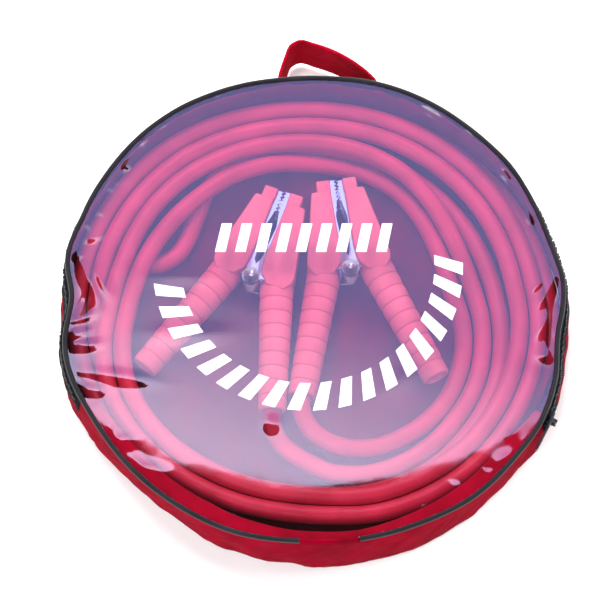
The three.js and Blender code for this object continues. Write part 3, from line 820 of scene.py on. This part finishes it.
# Ridges pressed into the window: middle, length, direction, height and width, in millimetres and degrees
RIDGES = [
    (-134, -57, 62, -8, 0.40, 3.2), (-158, -66, 30, -3, 0.34, 2.4), (-133, -103, 24, 9, 0.34, 2.2),
    (-119, -122, 40, -12, 0.42, 2.8), (-29, -91, 12, 5, 0.55, 3.6), (133, -118, 18, -8, 0.40, 3.0),
    (134, -132, 16, 20, -0.40, 3.0), (146, -106, 10, -30, 0.30, 2.4),
    (-158, 14, 40, -70, 1.4, 3.2), (-160, 0, 36, -110, -1.1, 3.0), (-163, -14, 26, 20, 0.7, 2.0),
    (-166, -26, 22, 12, 0.8, 1.6), (-160, -34, 26, 4, 0.7, 1.8), (-165, 34, 22, 15, 0.6, 1.6),
    (-158, 46, 20, 24, 0.6, 1.6), (-150, 16, 34, -65, 0.8, 2.4),
    (163, 6, 30, 60, 1.0, 2.2), (167, -6, 26, 75, -0.9, 2.4), (160, -18, 24, 62, 0.9, 2.2),
    (166, -32, 20, 88, -0.8, 2.4), (158, 12, 18, 40, 0.8, 1.8), (160, -42, 16, -10, 0.6, 2.0),
    (-87, 152, 12, 60, 0.7, 1.3), (-108, 137, 14, 35, 0.8, 1.3), (-122, 124, 12, 42, 0.8, 1.3),
    (-134, 104, 14, 65, 0.7, 1.5), (-70, 158, 16, 20, 0.6, 1.4), (-30, 152, 30, 8, 0.5, 3.0),
    (0, 158, 44, 4, 0.5, 3.4), (40, 152, 40, -10, 0.5, 3.0), (84, 146, 26, -34, 0.6, 2.4),
    (112, 128, 20, -50, 0.6, 1.8), (136, 96, 22, -56, 0.5, 1.8), (152, 62, 20, -70, 0.5, 1.8),
    (-92, 18, 60, 2, 0.28, 5.0), (-88, -26, 70, 0, 0.35, 5.0), (60, -60, 40, 35, 0.16, 5.0),
]


# Puckers where the window is gathered at its rim: first and last azimuth, step, height, width
PUCKERS = [(96, 168, 4.6, 0.42, 1.1), (20, 92, 7.5, 0.20, 1.4), (206, 330, 9.0, 0.12, 1.2)]


def pucker_ridges():
    """Ridges of the gathers; the sines only make them uneven."""
    made = []
    for first, last, step, height, width in PUCKERS:
        for i, azimuth in enumerate(np.arange(first, last, step)):
            a = math.radians(azimuth)
            swing = 22 * math.sin(5.3 * i)
            reach = 167 - 2.5 * math.sin(3.1 * i)
            length = 15 + 6 * math.sin(2.3 * i)
            sign = 1 if i % 3 else -1
            made.append((
                reach * math.cos(a), reach * math.sin(a), length, azimuth + swing, sign * height, width,
            ))
    return made


def window_height(x, y, radius, rim):
    """Height of the window above the panel, in millimetres."""
    lift = np.zeros_like(x)
    for cx, cy, length, direction, height, width in RIDGES + pucker_ridges():
        a = math.radians(direction)
        u = (x - cx) * math.cos(a) + (y - cy) * math.sin(a)
        v = -(x - cx) * math.sin(a) + (y - cy) * math.cos(a)
        lift += height * np.exp(-((u / (length * RIDGE_REACH)) ** 2) - (v / width) ** 2 / 2)
    inward = 1 - radius / rim
    settled = np.clip(inward / WINDOW_SETTLE, 0, 1)
    sag = -WINDOW_SAG * np.clip(1 - (radius / rim) ** 2, 0, 1)
    waves = WINDOW_RIPPLE * np.sin(x / 17 + 1.3 * np.sin(y / 40)) * np.sin(y / 26 + 0.7)
    return WINDOW_Z + sag + (lift + waves) * settled


def make_window():
    azimuths = np.arange(0, 360, BAG_STEP)
    edge = around(RIM, azimuths) - WINDOW_INSET
    shares = np.concatenate([np.linspace(*WINDOW_RINGS), np.linspace(*WINDOW_RIM_RINGS)])
    rows = []
    for share in shares:
        r = edge * share
        x = r * np.cos(np.radians(azimuths))
        y = r * np.sin(np.radians(azimuths))
        z = window_height(x, y, r, edge)
        rows.append(list(zip(x * MM, y * MM, z * MM)))
    sheet = surface("window_sheet", rows, "vinyl", closed=True)
    fill_middle(sheet)
    thicken(sheet, WINDOW_THICK * MM)
    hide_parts("window")


def window_print(name, outlines):
    """Plain white marks lying on the window."""
    mesh = bpy.data.meshes.new(name)
    shape = bmesh.new()
    for outline in outlines:
        corners = []
        for x, y in outline:
            r = math.hypot(x, y)
            edge = float(around(RIM, math.degrees(math.atan2(y, x)))) - WINDOW_INSET
            z = float(window_height(np.array(x), np.array(y), r, edge)) + WINDOW_THICK + PRINT_LIFT
            corners.append(shape.verts.new((x * MM, y * MM, z * MM)))
        shape.faces.new(corners)
    shape.to_mesh(mesh)
    shape.free()
    return finish_piece(link(name, mesh), "print", ROOT)


def arc_point(angle, radius):
    a = math.radians(angle)
    return ARC_CENTRE[0] + radius * math.cos(a), ARC_CENTRE[1] + radius * math.sin(a)


def make_print():
    """Plain slanted bars, one row straight and one along an arc."""
    bars = []
    for i in range(ROW_BARS):
        x = ROW_LEFT + i * ROW_PITCH
        bars.append([
            (x, ROW_LOW), (x + ROW_BAR, ROW_LOW),
            (x + (ROW_BAR + ROW_SLANT), ROW_HIGH), (x + ROW_SLANT, ROW_HIGH),
        ])
    window_print("bars_straight", bars)
    bars = []
    for i in range(ARC_BARS):
        a = ARC_FROM + i * ARC_PITCH
        bars.append([
            arc_point(a, ARC_OUTER), arc_point(a + ARC_BAR, ARC_OUTER),
            arc_point(a + ARC_BAR + ARC_SLANT, ARC_INNER), arc_point(a + ARC_SLANT, ARC_INNER),
        ])
    window_print("bars_arc", bars)


def make_panel():
    azimuths = np.arange(0, 360, PANEL_STEP)
    edge = around(FOOT, azimuths) - PANEL_INSET
    rows = []
    for share in np.linspace(0.01, 1.0, PANEL_RINGS):
        r = edge * share
        x = r * np.cos(np.radians(azimuths))
        y = r * np.sin(np.radians(azimuths))
        spots = [Vector((a / PANEL_WAVE_LENGTH, b / PANEL_WAVE_LENGTH, 3.0)) for a, b in zip(x, y)]
        z = [PANEL_TOP + PANEL_WAVE * noise.noise(spot) for spot in spots]
        rows.append(list(zip(x * MM, y * MM, np.array(z) * MM)))
    # The panel's red nylon carries painted shade, so it is darker than the wall's
    panel = surface("panel", rows, "nylon_painted_shade", closed=True)
    flat = panel.data.uv_layers["weave"]
    for loop in panel.data.loops:
        flat.data[loop.index].uv = panel.data.vertices[loop.vertex_index].co.xy
    fill_middle(panel)
    thicken(panel, PANEL_THICK * MM, 1.0)
    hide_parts("back_panel")


# Middle of the handle's webbing, from its left seam round to its right one
STRAP = [
    (-25, 180.0, 16), (-25.6, 184, 16), (-24, 191, 16), (-21, 200, 16), (-17.5, 209, 16), (-10, 213, 16),
    (0, 210, 16), (11, 206, 16), (22, 200.5, 16), (32, 194, 16), (40.5, 187, 16), (45.8, 180.5, 16),
    (45, 176.0, 16),
]
STRAP_WIDTH = 24.0
STRAP_THICK = 1.9
STRAP_LEAN = 0.26
STRAP_STEP = 2.5
STRAP_ROWS = 9


def make_handle():
    middle = through([Vector(p) for p in STRAP], STRAP_STEP)
    count = len(middle)
    across = np.linspace(-0.5, 0.5, STRAP_ROWS)
    rows = [[] for _ in across]
    for i, p in enumerate(middle):
        t = i / (count - 1)
        lean = STRAP_LEAN * math.sin(math.pi * t)
        up = Vector((0, math.sin(lean), math.cos(lean)))
        for row, s in zip(rows, across):
            row.append((p + up * (STRAP_WIDTH * s)) * MM)
    strap = surface("strap", rows, "webbing")
    thicken(strap, STRAP_THICK * MM, 0.0)
    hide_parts("handle_strap")


def make_slider():
    azimuth = ZIP_START + SLIDER_FROM_END
    place = Matrix.Rotation(math.radians(azimuth), 4, "Z")
    still = Matrix.Identity(4)
    face = Vector(wall_point(azimuth, SLIDER_Z, 1.0)).xy.length / MM + SLIDER_GAP
    top = face + SLIDER_THICK
    plate = block([(face, -6.5), (top, -4.6), (top, 4.6), (face, 6.5)], 32.7, 42.2, SLIDER_BEVEL)
    foot = [(face + 1.4, -1.5), (face + 5.2, -1.2), (face + 5.2, 1.2), (face + 1.4, 1.5)]
    posts = [block(foot, low, high, POST_BEVEL) for low, high in ((BAR_LOW, 34.2), (40.7, BAR_HIGH))]
    bar = turned([(0, BAR_LOW), (BAR_RADIUS, BAR_LOW), (BAR_RADIUS, BAR_HIGH), (0, BAR_HIGH)], 16)
    pieces = [(mesh, still) for mesh in (plate, *posts)]
    pieces.append((bar, Matrix.Translation(Vector((face + BAR_OUT, 0, 0)) * MM)))
    body = joined("slider", pieces, "metal", "zip_slider", place)
    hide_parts("zip_slider")
    outer = PULL_AXIS + 0.8
    inner = PULL_AXIS - 0.8
    tab = block([
        (inner, 1.6), (outer, 1.6), (outer, -23), (PULL_AXIS + 0.3, -24), (PULL_AXIS - 0.5, -24),
        (inner, -23),
    ], PULL_LOW, PULL_HIGH, PULL_BEVEL)
    pull = joined("pull_tab", [(tab, still)], "metal", "zip_pull", place)
    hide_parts("zip_pull")


# Clamps


def cut(mesh, cutter):
    """The mesh with the cutter taken out of it."""
    base = link("base", mesh)
    tool = link("tool", cutter)
    step = base.modifiers.new("cut", "BOOLEAN")
    step.operation = "DIFFERENCE"
    step.solver = "EXACT"
    step.object = tool
    made = applied(base).data
    bpy.data.objects.remove(base)
    bpy.data.objects.remove(tool)
    return made


def mirrored(outline, side):
    return [(side * x, y) for x, y in outline]


def cover_mesh(side, plate_top):
    """Moulded cover of one arm, without its grip."""
    body = block(mirrored(COVER_BODY, side), -CLAMP_HALF, CLAMP_HALF, COVER_BEVEL)
    cap = block(mirrored(COVER_CAP, side), -CAP_HALF, CAP_HALF, CAP_BEVEL)
    room = plate_top + POCKET_PLAY
    pocket = block(mirrored(COVER_POCKET, side), -room, room, 0)
    hole = [(0, -PIVOT_HALF), (PIVOT_HOLE, -PIVOT_HALF), (PIVOT_HOLE, PIVOT_HALF), (0, PIVOT_HALF)]
    pivot = turned(hole, 32)
    body = cut(body, pocket.copy())
    body = cut(body, pivot)
    return [body, cut(cap, pocket)]


def grip_radius(height):
    return GRIP_TOP + (GRIP_END - GRIP_TOP) * (-height / GRIP_LENGTH)


def grip_mesh():
    """Ribbed grip about its own axis: the collar is at height 0 and the end below."""
    pitch = GRIP_LENGTH / GRIP_RIBS
    profile = [(0, 6.0), (9.5, 6.0), (11.4, 3.0), (12.0, 0.6)]
    for i in range(GRIP_RIBS):
        top = -i * pitch
        low = -(i + 1) * pitch
        wide = grip_radius(top)
        slim = grip_radius(low)
        profile += [
            (wide - 0.75, top), (wide - 0.1, top - 0.45), (wide + 0.2, top - 1.2),
            ((wide + slim) / 2 + 0.45, (top + low) / 2), (slim + 0.2, low + 1.2), (slim - 0.1, low + 0.45),
        ]
    end = -GRIP_LENGTH
    profile += [(8.9, end), (8.2, end - 0.3), (7.4, end), (7.0, end + 3.0), (0, end + 3.0)]
    return turned(profile, 40)


def spring_points():
    """A coil with one straight leg at its foot."""
    count = round(COIL_TURNS * COIL_SIDES)
    points = []
    for i in range(count + 1):
        t = i / count
        a = math.radians(LEG_ANGLE) + 2 * math.pi * COIL_TURNS * t
        height = -COIL_HALF + 2 * COIL_HALF * t
        points.append(Vector((COIL_RADIUS * math.cos(a), COIL_RADIUS * math.sin(a), height)))
    start = (points[0] - points[1]).normalized() * LEG_LENGTH
    return [points[0] + start, *points]


def make_clamp(name, pivot, turn, moving):
    at = Vector((*pivot, CLAMP_MIDDLE)) * MM
    place = Matrix.Translation(at) @ Matrix.Rotation(math.radians(turn), 4, "Z")
    lean = math.atan2(*GRIP_SLOPE)
    for role, side in (("fixed", -moving), ("moving", moving)):
        body = ROOT if role == "fixed" else f"{name}_arm"
        grip_place = (
            Matrix.Translation(Vector((side * GRIP_AT[0], GRIP_AT[1], 0)) * MM)
            @ Matrix.Rotation(side * lean, 4, "Z")
            @ Matrix.Rotation(-math.pi / 2, 4, "X")
        )
        pieces = [(part, Matrix.Identity(4)) for part in cover_mesh(side, PLATE_TOPS[role])]
        pieces.append((grip_mesh(), grip_place))
        cover = joined(f"{name}_{role}_arm_cover", pieces, "plastic", body, place)
        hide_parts(f"{name}_{role}_cover")
        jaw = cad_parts[f"{name}_{role}_jaw"]
        jaw.data.materials.clear()
        jaw.data.materials.append(LOOKS["steel"])
    pin = joined(f"{name}_rivet", [(turned(RIVET, 32), Matrix.Identity(4))], "steel", ROOT, place)
    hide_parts(f"{name}_pivot_pin")
    coil = [place @ (Vector((moving * p.x, p.y, p.z)) * MM) for p in spring_points()]
    spring = strand(f"{name}_coil", coil, WIRE_RADIUS * MM, "steel", 3)
    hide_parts(f"{name}_spring")


# Light and floor


def make_sky():
    world = bpy.data.worlds.new("studio")
    world.use_nodes = True
    tree = world.node_tree
    coords = node(tree, "ShaderNodeTexCoord")
    split = node(tree, "ShaderNodeSeparateXYZ")
    ramp = tones(tree, SKY_TONES)
    tree.links.new(coords.outputs["Generated"], split.inputs[0])
    tree.links.new(split.outputs[2], ramp.inputs["Fac"])
    tree.links.new(ramp.outputs["Color"], tree.nodes["Background"].inputs["Color"])
    scene.world = world
    scene.view_settings.view_transform = "Standard"


def make_floor():
    mesh = bpy.data.meshes.new("floor")
    corners = [(x * FLOOR_HALF, y * FLOOR_HALF, 0) for x, y in ((-1, -1), (1, -1), (1, 1), (-1, 1))]
    mesh.from_pydata(corners, [], [(0, 1, 2, 3)])
    floor = link("floor", mesh)
    mesh.materials.append(nodes_of("floor", (0.93, 0.93, 0.93), 0.8)[0])


def aimed(at, aim):
    """Rotation that turns a lamp at one place towards another."""
    return (Vector(aim) - Vector(at)).to_track_quat("-Z", "Y").to_euler()


def make_lamps():
    """Soft lamps, which don't show in reflections."""
    for name, (at, width, power) in LAMPS.items():
        data = bpy.data.lights.new(name, "AREA")
        data.shape = "DISK"
        data.size = width
        data.energy = power
        lamp = link(name, data)
        lamp.location = at
        lamp.rotation_euler = aimed(at, (0, 0, 0))
        lamp.visible_glossy = False


def make_softbox():
    """A glowing disc that only reflections show: its image lies over the window."""
    mesh = bpy.data.meshes.new("softbox")
    angles = np.linspace(0, 2 * math.pi, SOFTBOX_SIDES + 1)[:-1]
    ring = [(SOFTBOX_RADIUS * math.cos(a), SOFTBOX_RADIUS * math.sin(a), 0) for a in angles]
    mesh.from_pydata(ring, [], [tuple(range(SOFTBOX_SIDES))])
    softbox = link("softbox", mesh)
    softbox.location = SOFTBOX_AT
    softbox.rotation_euler = aimed(SOFTBOX_AT, SOFTBOX_AIM)
    made = bpy.data.materials.new("softbox")
    made.use_nodes = True
    tree = made.node_tree
    tree.nodes.clear()
    coords = node(tree, "ShaderNodeTexCoord")
    split = node(tree, "ShaderNodeSeparateXYZ")
    slant = node(tree, "ShaderNodeMath", operation="MULTIPLY_ADD")
    slant.inputs[1].default_value = SOFTBOX_SLANT
    spread = node(tree, "ShaderNodeMapRange")
    spread.inputs["From Min"].default_value = -SOFTBOX_SPREAD
    spread.inputs["From Max"].default_value = SOFTBOX_SPREAD
    ramp = tones(tree, SOFTBOX_TONES)
    glow = node(tree, "ShaderNodeEmission", Strength=SOFTBOX_GLOW)
    out = node(tree, "ShaderNodeOutputMaterial")
    tree.links.new(coords.outputs["Object"], split.inputs[0])
    tree.links.new(split.outputs[0], slant.inputs[0])
    tree.links.new(split.outputs[1], slant.inputs[2])
    tree.links.new(slant.outputs[0], spread.inputs["Value"])
    tree.links.new(spread.outputs["Result"], ramp.inputs["Fac"])
    tree.links.new(ramp.outputs["Color"], glow.inputs["Color"])
    tree.links.new(glow.outputs[0], out.inputs["Surface"])
    mesh.materials.append(made)
    softbox.visible_camera = False
    softbox.visible_diffuse = False
    softbox.visible_shadow = False


make_lead()
make_panel()
make_wall()
make_zip()
make_piping()
make_window()
make_print()
make_handle()
make_slider()
for clamp_name, (pivot_at, clamp_turn, moving_side) in CLAMPS.items():
    make_clamp(clamp_name, pivot_at, clamp_turn, moving_side)
make_sky()
make_floor()
make_lamps()
make_softbox()
